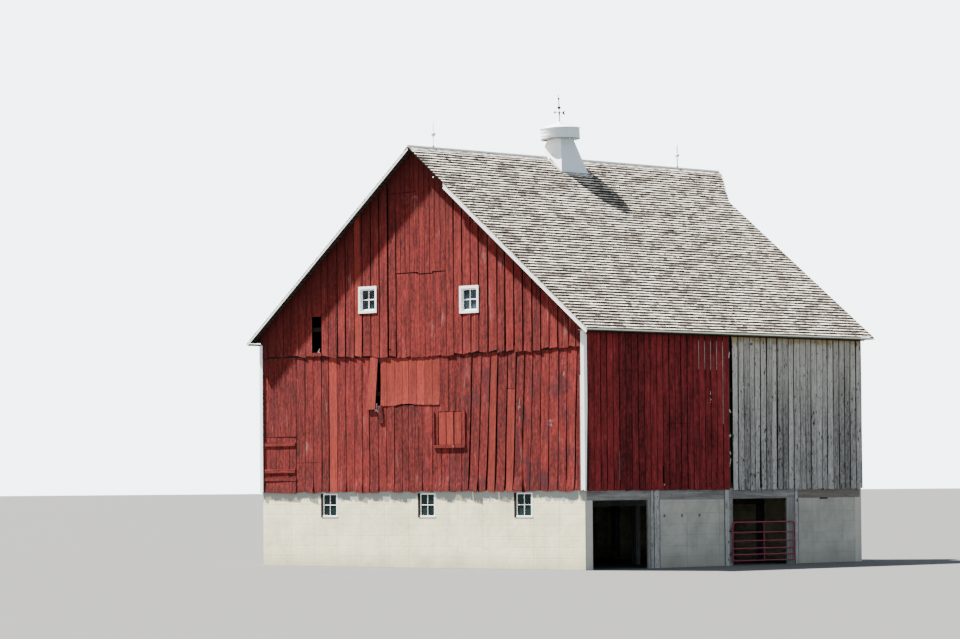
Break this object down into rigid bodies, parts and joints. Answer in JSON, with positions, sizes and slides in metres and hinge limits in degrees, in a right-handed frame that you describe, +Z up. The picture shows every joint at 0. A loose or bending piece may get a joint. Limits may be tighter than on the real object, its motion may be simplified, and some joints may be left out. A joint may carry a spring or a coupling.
{
  "type": "red timber barn",
  "caption": "Timber barn with a gable front, shingle roof, hay hood, ridge ventilator and an open concrete basement with a tube gate.",
  "frame": {"origin": "centre of the bounding box at ground level", "axes": "+Z up; the ridge runs along Y with the front gable at -Y and the hay hood at +Y; the open basement side faces +X"},
  "size_m": [14, 13.87, 14.1285],
  "materials": {
    "concrete": "weathered board-marked concrete",
    "timber": "old sawn timber",
    "grey_boards": "bare weathered boards",
    "red_boards": "faded red barn paint on rough boards",
    "white_trim": "white paint on boards, chipped",
    "shingles": "weathered wood shingles",
    "galvanised": "pale weathered sheet metal",
    "dark_iron": "rusted dark iron",
    "glass": "old window glass",
    "ball_glass": "milky glazed ball",
    "gate_paint": "red enamel on steel tube"
  },
  "bodies": {
    "barn": {"foundation_front": "concrete", "foundation_left": "concrete", "foundation_back": "concrete", "concrete_panels": "concrete", "basement_posts": "timber", "door_jambs": "grey_boards", "floor_beams": "timber", "floor_joists": "timber", "floor_deck": "timber", "frame_posts": "timber", "roof_plates": "timber", "tie_beams": "timber", "knee_braces": "timber", "girts": "timber", "rafters_left": "timber", "rafters_right": "timber", "front_wall_lower": "red_boards", "front_wall_upper": "red_boards", "side_wall_red": "red_boards", "side_wall_grey": "grey_boards", "left_wall": "red_boards", "back_wall": "red_boards", "corner_boards": "white_trim", "hay_door": "red_boards", "hatch_shutter": "red_boards", "hatch_trim": "red_boards", "low_door": "red_boards", "loose_board": "red_boards", "back_hay_door": "red_boards", "roof_left": "shingles", "roof_right": "shingles", "hay_hood": "shingles", "ridge_cap": "galvanised", "rake_boards": "white_trim", "eave_boards": "white_trim", "window_frames": "white_trim", "window_glass": "glass", "cellar_frames": "white_trim", "cellar_glass": "glass", "vent_duct": "galvanised", "vent_neck": "galvanised", "vent_drum": "galvanised", "vent_cap": "galvanised", "vane_rod": "dark_iron", "lightning_rods": "dark_iron", "rod_balls": "ball_glass", "gate_pintles": "dark_iron"},
    "gate": {"gate": "gate_paint"},
    "wind_vane": {"wind_vane": "dark_iron"}
  },
  "joints": [
    {"name": "gate_swing", "type": "hinge", "parent": "barn", "child": "gate", "pos_m": [6.67, -0.545, 0.7], "axis": [0, 0, -1], "range_deg": [0, 170]},
    {"name": "vane_spin", "type": "hinge", "parent": "barn", "child": "wind_vane", "pos_m": [-0.02127, -0.49627, 13.57355], "axis": [-0.0259, -0.0259, 0.9993], "continuous": true}
  ]
}
